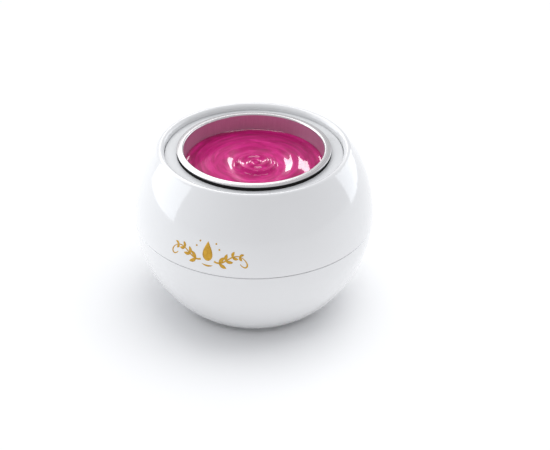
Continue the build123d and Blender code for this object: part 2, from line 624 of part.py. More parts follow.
def inlet_pins():
    pins = []
    for x in pin_places():
        tip = INLET_FACE - 1.5
        length = tip - INLET_BACK
        pin = Pos(x, tip - length / 2, PANEL_Z) * Rot(90, 0, 0) * Cylinder(PIN_RADIUS, length)
        pin = fillet(pin.edges().group_by(Axis.Y)[-1], 0.9)
        pins.append(pin + block((x - 0.4, x + 0.4), (INLET_BACK - TAB_LENGTH, INLET_BACK),
                                (PANEL_Z - 2.4, PANEL_Z + 2.4)))
    return join(pins)


def switch_body_outline(grow=0.0):
    half_width = 6.9 + grow
    half_height = 4.4 + grow
    return block((-half_width, half_width), (SWITCH_BACK, PANEL_Y),
                 (PANEL_Z - half_height, PANEL_Z + half_height))


def switch_tab_blocks():
    return [block((x - 0.4, x + 0.4), (SWITCH_BACK - TAB_LENGTH, SWITCH_BACK + 2),
                  (PANEL_Z - 2.4, PANEL_Z + 2.4)) for x in (-3.5, 3.5)]


def switch_body():
    bezel = block((-8, 8), (PANEL_Y, SWITCH_FACE), (PANEL_Z - 5.5, PANEL_Z + 5.5))
    body = fillet(bezel.edges().filter_by(Axis.Y), 1.0) + switch_body_outline()
    body -= block((-5.95, 5.95), (45.0, SWITCH_FACE + 1), (PANEL_Z - 3.5, PANEL_Z + 3.5))
    body -= Pos(0, ROCKER_PIVOT_Y, PANEL_Z) * Cylinder(0.95, 8.4)
    for tab in switch_tab_blocks():
        body -= tab
    return rear(body, SWITCH_ANGLE)


def switch_rocker():
    """A shallow V across its face, turning on two short trunnions; drawn about its pivot."""
    outline = Polyline((-5.0, 3.7), (0, 2.7), (5.0, 3.7), (4.6, -1.2), (-4.6, -1.2), close=True)
    rocker = extrude(make_face(outline.edges()), 3.3, both=True)
    rocker = fillet(rocker.edges().filter_by(Axis.Z).group_by(Axis.Y)[-1], 0.5)
    rocker += Cylinder(0.9, 8.2)
    placed = Pos(0, ROCKER_PIVOT_Y, PANEL_Z) * Rot(0, 0, ROCKER_REST_ANGLE) * rocker
    return rear(placed, SWITCH_ANGLE)


def switch_tabs():
    return join(rear(tab, SWITCH_ANGLE) for tab in switch_tab_blocks())


# ---------------------------------------------------------------- terminals and leads
SLEEVE_LENGTH = 11.0
SLEEVE_ROOT_GAP = 0.3


def rear_sleeve(x, root):
    """Push-on sleeve on an upright tab at the rear, with its open end at the root."""
    sleeve = block((x - 1.3, x + 1.3), (root - SLEEVE_ROOT_GAP - SLEEVE_LENGTH, root - SLEEVE_ROOT_GAP),
                   (PANEL_Z - 3.2, PANEL_Z + 3.2))
    return fillet(sleeve.edges().filter_by(Axis.Y), 0.8)


def spade_sleeves():
    sleeves = []
    for x in pin_places():
        tab = block((x - 0.4, x + 0.4), (INLET_BACK - TAB_LENGTH, INLET_BACK), (PANEL_Z - 2.4, PANEL_Z + 2.4))
        sleeves.append(rear_sleeve(x, INLET_BACK) - tab)
    for x, tab in zip((-3.5, 3.5), switch_tab_blocks()):
        sleeves.append(rear(rear_sleeve(x, SWITCH_BACK) - tab, SWITCH_ANGLE))
    for way, tab in zip((-1, 1), thermostat_tab_blocks()):
        start = 7.4 + SLEEVE_ROOT_GAP
        middle = way * (start + SLEEVE_LENGTH / 2)
        sleeve = block((middle - SLEEVE_LENGTH / 2, middle + SLEEVE_LENGTH / 2), (-4.0, 4.0),
                       (THERMOSTAT_TAB_Z - 1.3, THERMOSTAT_TAB_Z + 1.3))
        sleeves.append(at_thermostat(fillet(sleeve.edges().filter_by(Axis.X), 0.8) - tab))
    return join(sleeves)


def inlet_exit(x):
    return Vector(x, INLET_BACK - SLEEVE_ROOT_GAP - SLEEVE_LENGTH, PANEL_Z)


def switch_exit(x, beyond=0.0):
    """Where a lead leaves a switch sleeve, or a point further along the same line."""
    out = SWITCH_BACK - SLEEVE_ROOT_GAP - SLEEVE_LENGTH - beyond
    return Vector(x, out, PANEL_Z).rotate(Axis.Z, SWITCH_ANGLE)


def thermostat_exit(way, beyond=0.0):
    along = thermostat_direction()
    reach = way * (7.4 + SLEEVE_ROOT_GAP + SLEEVE_LENGTH + beyond)
    return Vector(THERMOSTAT_AT[0] + reach * along[0], THERMOSTAT_AT[1] + reach * along[1], THERMOSTAT_TAB_Z)


def lead(*points):
    """A round wire along straight runs, with the largest arcs that its corners allow."""
    corners = [Vector(point) for point in points]
    radii = []
    for before, at, after in zip(corners, corners[1:], corners[2:]):
        turn = math.radians((at - before).get_angle(after - at))
        shorter = min((at - before).length, (after - at).length)
        radii.append(0.45 * shorter / math.tan(turn / 2))
    path = FilletPolyline(*corners, radius=radii)
    tube = sweep((path ^ 0) * Circle(LEAD_RADIUS), path=path)
    ideal = math.pi * LEAD_RADIUS**2 * path.length
    print(f"lead {path.length:.1f} mm, volume over ideal {tube.volume / ideal:.4f}, "
          f"radii {[round(radius, 1) for radius in radii]}")
    return tube


GROMMET_X, GROMMET_Y = GROMMET_AT
LEAD_FLOOR = THERMOSTAT_TAB_Z
PTC_LEAD_Z = PTC_UNDERSIDE + PTC_SIZE[2] / 2
PTC_END = PTC_SIZE[0] / 2


def lead_inlet_to_switch():
    return lead(inlet_exit(-PIN_SPACING / 2), (-PIN_SPACING / 2, 13.6, PANEL_Z),
                switch_exit(-3.5, 9.0), switch_exit(-3.5))


def lead_switch_to_thermostat():
    x = GROMMET_X - LEAD_OFFSET
    return lead(switch_exit(3.5), switch_exit(3.5, 3.6), (-4.6, 13.5, 28.5), (x, GROMMET_Y, 28.5),
                (x, GROMMET_Y, LEAD_FLOOR), (-10, -12, LEAD_FLOOR), (-9.5, -31, LEAD_FLOOR),
                thermostat_exit(-1, 7.0), thermostat_exit(-1))


def lead_thermostat_to_heater():
    return lead(thermostat_exit(1), thermostat_exit(1, 4.5), (34.5, -0.5, 38.6), (27.5, -4, PTC_LEAD_Z),
                (PTC_END, -4, PTC_LEAD_Z))


def lead_heater_to_fuse():
    fuse_end = FUSE_AT[0] + FUSE_LENGTH / 2
    return lead((PTC_END, 4, PTC_LEAD_Z), (26, 4, PTC_LEAD_Z), (32, 13, PTC_LEAD_Z),
                (30, FUSE_AT[1], fuse_height()), (fuse_end, FUSE_AT[1], fuse_height()))


def lead_fuse_to_inlet():
    x = GROMMET_X + LEAD_OFFSET
    fuse_end = FUSE_AT[0] - FUSE_LENGTH / 2
    return lead((fuse_end, FUSE_AT[1], fuse_height()), (4, FUSE_AT[1], fuse_height()),
                (2, 18, LEAD_FLOOR + 0.4), (x, GROMMET_Y, LEAD_FLOOR), (x, GROMMET_Y, 27),
                (PIN_SPACING / 2, 14, PANEL_Z), inlet_exit(PIN_SPACING / 2))


# ---------------------------------------------------------------- every sub-part, one file each
SUB_PARTS = (
    upper_housing, base_housing, rim_collar, cup_seat_ring,
    support_frame, frame_screws, housing_screws, rubber_feet,
    wax_cup, wax_fill,
    heating_well, well_gasket, well_screws, thermal_pad, ptc_element, heater_clamp, clamp_screws,
    thermostat_cap, thermostat_body, thermostat_tabs, thermostat_bracket, thermostat_screws,
    thermal_fuse, fuse_clip, fuse_screw, insulation_sleeve, heat_shield, shield_screws, wire_grommet,
    inlet_socket, inlet_pins, switch_body, switch_rocker, switch_tabs, spade_sleeves,
    lead_inlet_to_switch, lead_switch_to_thermostat, lead_thermostat_to_heater, lead_heater_to_fuse,
    lead_fuse_to_inlet,
)

os.makedirs("parts", exist_ok=True)
for sub_part in SUB_PARTS:
    solid = sub_part()
    export_step(solid, f"parts/{sub_part.__name__}.step")
    print(f"{sub_part.__name__}: {len(solid.solids())} solid(s), {solid.volume:.1f} mm3")
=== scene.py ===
"""Looks for the wax warmer pot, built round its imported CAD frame.

Metres, +Z up. The pot stands on z = 0, its axis is x = y = 0, its front is -Y and its inlet is at +Y.
"""

import math

import bmesh
import bpy
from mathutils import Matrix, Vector, noise
from mathutils.bvhtree import BVHTree


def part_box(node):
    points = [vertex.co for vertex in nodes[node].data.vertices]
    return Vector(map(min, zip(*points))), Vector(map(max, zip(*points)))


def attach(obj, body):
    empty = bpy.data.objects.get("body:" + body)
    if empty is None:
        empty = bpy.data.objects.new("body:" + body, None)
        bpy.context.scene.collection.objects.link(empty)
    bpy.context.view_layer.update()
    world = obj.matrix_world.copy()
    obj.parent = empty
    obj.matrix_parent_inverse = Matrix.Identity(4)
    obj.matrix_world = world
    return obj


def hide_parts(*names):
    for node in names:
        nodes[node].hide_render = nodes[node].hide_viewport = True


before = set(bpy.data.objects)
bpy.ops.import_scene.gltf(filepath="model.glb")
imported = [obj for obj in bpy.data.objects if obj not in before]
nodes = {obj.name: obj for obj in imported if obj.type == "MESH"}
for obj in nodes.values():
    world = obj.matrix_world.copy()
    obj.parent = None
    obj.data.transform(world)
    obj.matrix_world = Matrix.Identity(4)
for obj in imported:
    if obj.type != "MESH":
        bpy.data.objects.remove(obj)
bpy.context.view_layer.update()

MM = 0.001

# ---------------------------------------------------------------- sizes read from the frame
CASING_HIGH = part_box("upper_housing")[1]
WAX_LOW, WAX_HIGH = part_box("wax_fill")
RIM_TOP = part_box("wax_cup")[1].z
BALL_RADIUS = CASING_HIGH.x
LIP_TOP = CASING_HIGH.z
LIP_RISE = 38.2 * MM  # ball's centre up to the crest of the lip
BALL_CENTRE = Vector((0, 0, LIP_TOP - LIP_RISE))

# ---------------------------------------------------------------- view
VIEW_AZIMUTH = 22.0  # degrees round from the front, towards +X
VIEW_ELEVATION = 31.2
VIEW_DISTANCE = 0.868
LENS = 108.0
VIEW_SHIFT = (0.0382, -0.0273)


def direction(azimuth, elevation):
    """Unit vector from the pot towards a view azimuth and elevation in degrees."""
    around, up = math.radians(azimuth), math.radians(elevation)
    return Vector((math.sin(around) * math.cos(up), -math.cos(around) * math.cos(up), math.sin(up)))


def add_object(name, data):
    obj = bpy.data.objects.new(name, data)
    bpy.context.scene.collection.objects.link(obj)
    return obj


def aim(obj, place, target):
    obj.location = place
    obj.rotation_euler = (target - place).to_track_quat("-Z", "Y").to_euler()


def make_camera():
    data = bpy.data.cameras.new("camera")
    data.lens = LENS
    data.sensor_width = 36.0
    data.shift_x, data.shift_y = VIEW_SHIFT
    data.clip_start = 0.01
    camera = add_object("camera", data)
    aim(camera, BALL_CENTRE + VIEW_DISTANCE * direction(VIEW_AZIMUTH, VIEW_ELEVATION), BALL_CENTRE)
    bpy.context.scene.camera = camera


# ---------------------------------------------------------------- light
COOL = (0.90, 0.95, 1.0)
WORLD_COLOUR = (0.97, 0.975, 1.0)
WORLD_STRENGTH = 0.745


def softbox(name, azimuth, elevation, distance, size, radiance, lit, tint=(1, 1, 1), round_ends=False):
    """An area light aimed at the ball, as bright as a panel of that radiance.

    Its azimuth is counted from the main view's, and it shines only on the objects in the collection lit.
    """
    data = bpy.data.lights.new(name, "AREA")
    data.shape = "ELLIPSE" if round_ends else "RECTANGLE"
    data.size, data.size_y = size
    filled = math.pi / 4 if round_ends else 1
    data.energy = radiance * math.pi * size[0] * size[1] * filled
    data.color = tint
    light = add_object(name, data)
    aim(light, BALL_CENTRE + distance * direction(VIEW_AZIMUTH + azimuth, elevation), BALL_CENTRE)
    light.visible_camera = False
    light.light_linking.receiver_collection = lit


def lit_group(name, *objects):
    """A collection of the objects that a light shines on."""
    group = bpy.data.collections.new(name)
    for obj in objects:
        group.objects.link(obj)
    return group


def make_light(on_pot, on_wax, on_both, on_floor):
    """A pale room, panels that make the casing's soft bands, and small bright ones for the wax's glints."""
    world = bpy.data.worlds.new("studio")
    world.use_nodes = True
    background = world.node_tree.nodes["Background"]
    background.inputs["Color"].default_value = (*WORLD_COLOUR, 1)
    background.inputs["Strength"].default_value = WORLD_STRENGTH
    bpy.context.scene.world = world
    softbox("light_left", -101, 15, 0.8, (0.72, 0.5), 1.8, on_both, COOL)
    softbox("light_right", 124, 13, 0.75, (0.6, 0.5), 1.5, on_both, COOL)
    softbox("light_back", -146, 45, 0.95, (1.1, 0.55), 1.9, on_pot)
    softbox("light_spark_left", -162, 20, 0.9, (0.13, 0.42), 20.0, on_wax, round_ends=True)
    softbox("light_spark_right", 162, 20, 0.9, (0.13, 0.42), 20.0, on_wax, round_ends=True)
    softbox("light_over", 180, 84, 0.9, (0.7, 0.24), 12.0, on_wax, round_ends=True)
    softbox("light_floor", 120, 80, 3.0, (2.6, 2.6), 2.15, on_floor)
    bpy.context.scene.view_settings.view_transform = "Standard"


# ---------------------------------------------------------------- materials
class Recipe:
    """A Principled material whose nodes work in the frame's metres."""

    def __init__(self, name, **values):
        self.material = bpy.data.materials.new(name)
        self.material.use_nodes = True
        self.tree = self.material.node_tree
        self.shader = self.tree.nodes["Principled BSDF"]
        for socket, value in values.items():
            self.shader.inputs[socket.replace("_", " ")].default_value = value
        self.place = self.node("ShaderNodeTexCoord").outputs["Object"]
        self.height = None

    def node(self, kind, **inputs):
        """A new node with its inputs set; a key such as _1 is an input's number, and the rest are names."""
        made = self.tree.nodes.new(kind)
        for key, value in inputs.items():
            socket = made.inputs[int(key[1:])] if key[0] == "_" else made.inputs[key.replace("_", " ")]
            self.feed(socket, value)
        return made

    def feed(self, socket, value):
        if isinstance(value, bpy.types.NodeSocket):
            self.tree.links.new(value, socket)
        else:
            socket.default_value = value

    def math(self, operation, first, second=0.0):
        made = self.tree.nodes.new("ShaderNodeMath")
        made.operation = operation
        self.feed(made.inputs[0], first)
        self.feed(made.inputs[1], second)
        return made.outputs[0]

    def stretch(self, scale):
        """The place, stretched by one scale per axis."""
        return self.node("ShaderNodeMapping", Vector=self.place, Scale=scale).outputs["Vector"]

    def noise(self, scale, detail=2.0, place=None, rough=0.5, distortion=0.0):
        made = self.node("ShaderNodeTexNoise", Vector=place or self.place, Scale=scale, Detail=detail,
                         Roughness=rough, Distortion=distortion)
        return made.outputs["Fac"]

    def polar(self):
        """Radius from the pot's axis, angle round it and height, as three sockets."""
        parts = self.node("ShaderNodeSeparateXYZ", Vector=self.place).outputs
        radius = self.math("SQRT", self.math("ADD", self.math("MULTIPLY", parts[0], parts[0]),
                                             self.math("MULTIPLY", parts[1], parts[1])))
        return radius, self.math("ARCTAN2", parts[1], parts[0]), parts[2]

    def facing_in(self):
        """1 where the surface faces the pot's axis, and 0 where it faces up, down or outward."""
        normal = self.node("ShaderNodeTexCoord").outputs["Normal"]
        towards = self.tree.nodes.new("ShaderNodeVectorMath")
        towards.operation = "DOT_PRODUCT"
        self.feed(towards.inputs[0], normal)
        self.feed(towards.inputs[1], self.stretch((1.0, 1.0, 0.0)))
        return self.span(towards.outputs["Value"], -12 * MM, -2 * MM, 1.0, 0.0)

    def vector(self, x=0.0, y=0.0, z=0.0):
        return self.node("ShaderNodeCombineXYZ", X=x, Y=y, Z=z).outputs[0]

    def span(self, value, low, high, to_low, to_high):
        made = self.node("ShaderNodeMapRange", _0=value, _1=low, _2=high, _3=to_low, _4=to_high)
        made.clamp = True
        return made.outputs[0]

    def colours(self, factor, *stops):
        """A colour ramp of (position, colour) stops."""
        made = self.node("ShaderNodeValToRGB", Fac=factor)
        ramp = made.color_ramp
        while len(ramp.elements) < len(stops):
            ramp.elements.new(0.5)
        for element, (position, colour) in zip(ramp.elements, stops):
            element.position = position
            element.color = (*colour, 1)
        return made.outputs["Color"]

    def blend(self, factor, first, second):
        made = self.tree.nodes.new("ShaderNodeMix")
        made.data_type = "RGBA"
        self.feed(made.inputs[0], factor)
        for number, value in ((6, first), (7, second)):
            linked = isinstance(value, bpy.types.NodeSocket)
            self.feed(made.inputs[number], value if linked else (*value, 1))
        return made.outputs[2]

    def colour(self, value):
        self.feed(self.shader.inputs["Base Color"], value)

    def roughness(self, value):
        self.feed(self.shader.inputs["Roughness"], value)

    def bump(self, height, depth):
        """Adds a height field, from 0 to 1, that is depth metres deep."""
        scaled = self.math("MULTIPLY", height, depth)
        self.height = scaled if self.height is None else self.math("ADD", self.height, scaled)

    def done(self):
        if self.height is not None:
            bump = self.node("ShaderNodeBump", Height=self.height, Distance=1.0, Strength=1.0)
            self.feed(self.shader.inputs["Normal"], bump.outputs["Normal"])
        return self.material


def tone(colour, factor):
    return tuple(min(1.0, part * factor) for part in colour)


def gloss_plastic(name, colour, rough=0.14, coat=1.0):
    """Polished moulded plastic: slow waves and orange peel in the gloss, and a slight drift of tone."""
    recipe = Recipe(name, Coat_Weight=coat, Coat_Roughness=0.03, IOR=1.48)
    drift = recipe.noise(14.0, 2.0)
    recipe.colour(recipe.colours(drift, (0.3, tone(colour, 0.97)), (0.7, tone(colour, 1.02))))
    recipe.roughness(recipe.span(recipe.noise(420.0, 3.0), 0.3, 0.7, rough - 0.03, rough + 0.05))
    recipe.bump(recipe.noise(130.0, 1.0), 6e-6)
    recipe.bump(recipe.noise(900.0, 2.0), 5e-7)
    return recipe.done()


def satin_plastic(name, colour, rough=0.4, grain=2200.0, depth=6e-6):
    """Fine spark-eroded mould texture, a little shinier where it is rubbed."""
    recipe = Recipe(name, IOR=1.47)
    drift = recipe.noise(30.0, 3.0)
    recipe.colour(recipe.colours(drift, (0.3, tone(colour, 0.93)), (0.7, tone(colour, 1.05))))
    recipe.roughness(recipe.span(recipe.noise(60.0, 4.0), 0.3, 0.7, rough - 0.06, rough + 0.07))
    recipe.bump(recipe.noise(grain, 2.0), depth)
    return recipe.done()


def rubber(name, colour, rough=0.62, sheen=0.12):
    recipe = Recipe(name, IOR=1.42, Sheen_Weight=sheen, Sheen_Roughness=0.5)
    dust = recipe.noise(250.0, 4.0)
    recipe.colour(recipe.colours(dust, (0.3, tone(colour, 0.8)), (0.75, tone(colour, 1.25))))
    recipe.roughness(recipe.span(recipe.noise(500.0, 3.0), 0.3, 0.7, rough - 0.1, rough + 0.1))
    recipe.bump(recipe.noise(1500.0, 3.0), 1.2e-5)
    return recipe.done()


def turned_metal(name, colour, rough=0.22, pitch=0.0004, depth=1.2e-6):
    """Spun or turned metal: fine rings round the pot's axis, with scuffs."""
    recipe = Recipe(name, Metallic=1.0, Anisotropic=0.4)
    radius, _, height = recipe.polar()
    rings = recipe.noise(1.0, 3.0, place=recipe.vector(
        recipe.math("DIVIDE", radius, pitch), recipe.math("DIVIDE", height, pitch), 0.0))
    scuffs = recipe.noise(160.0, 5.0, rough=0.7)
    recipe.colour(recipe.colours(scuffs, (0.3, tone(colour, 0.86)), (0.65, colour)))
    recipe.roughness(recipe.math("ADD", recipe.span(rings, 0.3, 0.7, rough - 0.05, rough + 0.05),
                                 recipe.span(scuffs, 0.45, 0.75, 0.0, 0.1)))
    recipe.bump(rings, depth)
    return recipe.done()


def sheet_metal(name, colour, rough=0.3, along=(40.0, 900.0, 900.0), depth=2e-6):
    """Rolled or plated sheet: a faint grain one way, and small stains."""
    recipe = Recipe(name, Metallic=1.0)
    grain = recipe.noise(1.0, 3.0, place=recipe.stretch(along))
    stains = recipe.noise(220.0, 5.0, rough=0.65)
    recipe.colour(recipe.colours(stains, (0.3, tone(colour, 0.78)), (0.7, colour)))
    recipe.roughness(recipe.math("ADD", recipe.span(grain, 0.3, 0.7, rough - 0.06, rough + 0.06),
                                 recipe.span(stains, 0.45, 0.8, 0.0, 0.12)))
    recipe.bump(grain, depth)
    return recipe.done()


def fibre(name, colour):
    """Matted glass wool."""
    recipe = Recipe(name, Sheen_Weight=0.4, Sheen_Roughness=0.6, Roughness=0.95)
    strands = recipe.noise(1.0, 6.0, place=recipe.stretch((300.0, 300.0, 1400.0)), rough=0.7,
                           distortion=1.5)
    recipe.colour(recipe.colours(strands, (0.3, tone(colour, 0.72)), (0.7, tone(colour, 1.1))))
    recipe.bump(strands, 3e-4)
    return recipe.done()


def cup_metal():
    """Satin rolled rim over a wall with upright brush marks: bare outside, and hazed by warm wax inside."""
    recipe = Recipe("cup_aluminium", Metallic=1.0)
    radius, angle, height = recipe.polar()
    streaks = recipe.noise(1.0, 4.0, place=recipe.vector(
        recipe.math("MULTIPLY", angle, 46.0), recipe.math("MULTIPLY", height, 90.0), 0.0), rough=0.7)
    speckle = recipe.noise(1400.0, 3.0, rough=0.8)
    rings = recipe.noise(1.0, 2.0, place=recipe.vector(recipe.math("MULTIPLY", radius, 2600.0), 0.0, 0.0))
    below = recipe.span(height, RIM_TOP - 1.3 * MM, RIM_TOP - 0.6 * MM, 1.0, 0.0)
    inward = recipe.facing_in()
    wall = recipe.math("MULTIPLY", below, inward)
    outside = recipe.math("MULTIPLY", below, recipe.math("SUBTRACT", 1.0, inward))
    grainy = recipe.math("ADD", recipe.math("MULTIPLY", streaks, 0.6),
                         recipe.math("MULTIPLY", speckle, 0.4))
    wall_colour = recipe.colours(grainy, (0.2, (0.52, 0.30, 0.42)), (0.8, (0.66, 0.41, 0.54)))
    rim_colour = recipe.colours(rings, (0.3, (0.57, 0.555, 0.56)), (0.7, (0.67, 0.655, 0.66)))
    bare_colour = recipe.colours(grainy, (0.3, (0.30, 0.30, 0.31)), (0.7, (0.50, 0.50, 0.51)))
    recipe.colour(recipe.blend(wall, recipe.blend(outside, rim_colour, bare_colour), wall_colour))
    recipe.roughness(recipe.math("ADD", recipe.span(rings, 0.3, 0.7, 0.25, 0.29),
                                 recipe.math("MULTIPLY", wall, recipe.span(grainy, 0.3, 0.7, 0.05, 0.09))))
    recipe.feed(recipe.shader.inputs["Metallic"], recipe.span(wall, 0.0, 1.0, 1.0, 0.65))
    recipe.bump(recipe.math("MULTIPLY", streaks, wall), 4e-6)
    recipe.bump(rings, 4e-7)
    return recipe.done()


def wax_material():
    """Melted pearl wax: magenta with fine mica drawn out into swirls, under a wet gloss. Its colour holds
    painted shade, darker towards the cup's wall, and painted glints on the pale mica specks.
    """
    recipe = Recipe("wax_pink", Coat_Weight=0.5, Coat_Roughness=0.02, Coat_IOR=1.35, IOR=1.3,
                    Specular_IOR_Level=0.12, Subsurface_Weight=0.1, Subsurface_Radius=(1.0, 0.2, 0.5),
                    Subsurface_Scale=0.0012)
    radius, angle, _ = recipe.polar()
    turned = recipe.math("ADD", angle, recipe.math("MULTIPLY", radius, 60.0))
    swirl = recipe.noise(1.0, 4.0, place=recipe.vector(
        recipe.math("MULTIPLY", recipe.math("COSINE", turned), 1.3),
        recipe.math("MULTIPLY", recipe.math("SINE", turned), 1.3),
        recipe.math("MULTIPLY", radius, 330.0)), rough=0.6, distortion=0.6)
    mica = recipe.noise(4200.0, 2.0)
    # painted shade: the wax's colour is darkened towards the cup's wall, where the wall shades it
    deep = recipe.math("SUBTRACT", swirl, recipe.span(radius, 24 * MM, 35 * MM, 0.0, 0.16))
    body = recipe.colours(deep, (0.26, (0.20, 0.001, 0.055)), (0.5, (0.36, 0.003, 0.115)),
                          (0.76, (0.55, 0.02, 0.21)))
    # pale mica specks: partly the flakes' own pale colour, partly a painted glint
    mica_and_painted_glint = recipe.span(mica, 0.60, 0.76, 0.0, 0.2)
    recipe.colour(recipe.blend(mica_and_painted_glint, body, (0.85, 0.15, 0.42)))
    recipe.roughness(recipe.span(swirl, 0.3, 0.7, 0.42, 0.30))
    recipe.bump(swirl, 3e-5)
    recipe.bump(mica, 2e-6)
    return recipe.done()


def gold_foil():
    """Hot-stamped foil: warm gold with a faint dither where it took unevenly."""
    recipe = Recipe("print_gold", Metallic=0.6, Coat_Weight=0.2, Coat_Roughness=0.1)
    patch = recipe.noise(700.0, 4.0)
    recipe.colour(recipe.colours(patch, (0.3, (0.50, 0.26, 0.018)), (0.7, (0.68, 0.39, 0.035))))
    recipe.roughness(recipe.span(patch, 0.3, 0.7, 0.3, 0.42))
    recipe.bump(patch, 2e-6)
    return recipe.done()


WHITE = (0.815, 0.818, 0.825)
FINISHES = {
    "upper_housing": lambda: gloss_plastic("casing_white", WHITE),
    "base_housing": lambda: gloss_plastic("base_white", tone(WHITE, 0.985), rough=0.16),
    "rim_collar": lambda: satin_plastic("collar_white", (0.78, 0.79, 0.80), 0.32, 1600.0, 3e-6),
    # black rubber seat ring; its near-black colour also stands in for the shade in the gap under the cup's
    # rim, as painted shade
    "cup_seat_ring": lambda: rubber("seat_black", (0.003, 0.0026, 0.0025), 0.8, 0.0),
    "support_frame": lambda: satin_plastic("frame_plastic", (0.55, 0.55, 0.52), 0.5),
    "rubber_feet": lambda: rubber("foot_rubber", (0.05, 0.05, 0.052)),
    "wax_cup": cup_metal,
    "wax_fill": wax_material,
    "heating_well": lambda: turned_metal("well_aluminium", (0.72, 0.72, 0.73), 0.28),
    "well_gasket": lambda: rubber("silicone_red", (0.36, 0.035, 0.025), 0.5),
    "wire_grommet": lambda: rubber("grommet_red", (0.36, 0.035, 0.025), 0.5),
    "thermal_pad": lambda: rubber("pad_grey", (0.30, 0.31, 0.33), 0.8),
    "ptc_element": lambda: sheet_metal("ptc_case", (0.70, 0.71, 0.72), 0.35),
    "thermostat_cap": lambda: sheet_metal("thermostat_cap", (0.78, 0.78, 0.77), 0.2, (300.0, 300.0, 300.0)),
    "thermostat_body": lambda: satin_plastic("phenolic_black", (0.035, 0.03, 0.028), 0.45, 1200.0, 1e-5),
    "insulation_sleeve": lambda: fibre("glass_wool", (0.80, 0.78, 0.70)),
    "heat_shield": lambda: turned_metal("shield_aluminium", (0.66, 0.66, 0.67), 0.34, 0.0007, 3e-6),
    "inlet_socket": lambda: satin_plastic("inlet_black", (0.02, 0.02, 0.021), 0.42, 1800.0, 1e-5),
    "inlet_pins": lambda: sheet_metal("pin_nickel", (0.74, 0.72, 0.68), 0.2, (900.0, 60.0, 900.0), 1e-6),
    "switch_body": lambda: satin_plastic("switch_black", (0.018, 0.018, 0.019), 0.45, 1800.0, 1e-5),
    "switch_rocker": lambda: satin_plastic("rocker_black", (0.024, 0.024, 0.025), 0.3, 2400.0, 4e-6),
    "thermal_fuse": lambda: sheet_metal("fuse_case", (0.75, 0.73, 0.66), 0.25, (300.0, 300.0, 300.0)),
    "spade_sleeves": lambda: gloss_plastic("sleeve_clear", (0.62, 0.64, 0.66), 0.22, 0.5),
}
SHARED_FINISHES = (
    (lambda: sheet_metal("screw_steel", (0.60, 0.60, 0.61), 0.3, (500.0, 500.0, 500.0)),
     ("frame_screws", "housing_screws", "well_screws", "clamp_screws", "thermostat_screws", "fuse_screw",
      "shield_screws")),
    (lambda: sheet_metal("strap_steel", (0.62, 0.62, 0.63), 0.33),
     ("heater_clamp", "thermostat_bracket", "fuse_clip")),
    (lambda: sheet_metal("tab_brass", (0.78, 0.60, 0.28), 0.28, (300.0, 300.0, 300.0)),
     ("thermostat_tabs", "switch_tabs")),
    (lambda: satin_plastic("lead_white", (0.70, 0.69, 0.66), 0.45, 900.0, 4e-6),
     ("lead_inlet_to_switch", "lead_switch_to_thermostat", "lead_fuse_to_inlet")),
    (lambda: satin_plastic("lead_red", (0.45, 0.03, 0.02), 0.45, 900.0, 4e-6),
     ("lead_thermostat_to_heater", "lead_heater_to_fuse")),
)


def give(obj, material):
    obj.data.materials.clear()
    obj.data.materials.append(material)


def finish_nodes():
    for name, make in FINISHES.items():
        give(nodes[name], make())
    for make, names in SHARED_FINISHES:
        material = make()
        for name in names:
            give(nodes[name], material)


# ---------------------------------------------------------------- meshes
def smooth_mesh(name, points, faces):
    mesh = bpy.data.meshes.new(name)
    mesh.from_pydata(points, [], faces)
    mesh.polygons.foreach_set("use_smooth", [True] * len(mesh.polygons))
    mesh.update()
    return add_object(name, mesh)


def bell(distance, width):
    return math.exp(-((distance / width) ** 2))


def step(value, low, high):
    """Smooth rise from 0 to 1."""
    share = min(1.0, max(0.0, (value - low) / (high - low)))
    return share * share * (3 - 2 * share)


# ---------------------------------------------------------------- melted wax
WAX_SIDES = 420
WAX_RINGS = 150
WAX_CROWDING = 1.25  # over 1 it packs the rings closer towards the wall
WAX_CORNER_RINGS = 12
WAX_CORNER = 4.5 * MM
WAX_FLOOR_RADIUS = 34.4 * MM  # where the corner meets the tapered wall
WAX_GAP = 0.02 * MM
MENISCUS = 1.2 * MM
MENISCUS_WIDTH = 1.7 * MM

# The relief is worked out in millimetres, with x to the main view's right and y to its back.
CALM = (29.5, 34.5)  # the relief fades out between these radii
POUR = (1.0, -0.8)  # where the stream landed
MOUND_HEIGHT = 1.7
MOUND_SLOPE = (8.6, 11.8)
COIL_HEIGHT = 0.5
COIL_PITCH = 5.6
BASIN = (2.6, -1.4)  # middle of the dish that the stream pressed round the mound
BASIN_ASPECT = 0.76
DISH_DEPTH = 1.4
DISH_SLOPE = (12.4, 18.6)
OUTER_SLOPE = (20.0, 34.0)
SWELL_RADIUS = 22.6
SWELL_WIDTH = 3.4


def wax_relief(x, y):
    """Height of the poured wax: a coiled mound in a dish, inside one slow outer swell."""
    drift = noise.noise(Vector((x / 11, y / 11, 3.7)))
    fine = noise.noise(Vector((x / 5, y / 5, 8.1)))
    out = math.hypot(x, y)
    basin = math.hypot(x - BASIN[0], BASIN_ASPECT * (y - BASIN[1])) + 0.9 * drift
    east, north = x - POUR[0], y - POUR[1]
    pour = math.hypot(east, north) + 0.7 * fine
    dish = DISH_DEPTH * step(basin, *DISH_SLOPE) * (1 - step(out, *OUTER_SLOPE))
    mound = MOUND_HEIGHT * (1 - step(pour, *MOUND_SLOPE))
    turns = math.cos(2 * math.pi * pour / COIL_PITCH - math.atan2(north, east))
    coil = COIL_HEIGHT * turns * step(pour, 0.4, 2.4) * (1 - step(pour, 8.6, 11.0))
    rightward = max(0.0, math.cos(math.atan2(y, x) + 0.25))
    swell = (0.1 + 0.4 * rightward) * bell(out - SWELL_RADIUS - 0.5 * drift, SWELL_WIDTH)
    return dish + mound + coil + swell + 0.3 * drift


def wax_height(radius, around, edge):
    """How far the wax stands above its level: the relief, and the climb at the wall."""
    seen = around - math.radians(VIEW_AZIMUTH)
    calm = 1 - step(radius / MM, *CALM)
    relief = wax_relief(radius / MM * math.cos(seen), radius / MM * math.sin(seen))
    return MM * calm * relief + MENISCUS * math.exp(-(edge - radius) / MENISCUS_WIDTH)


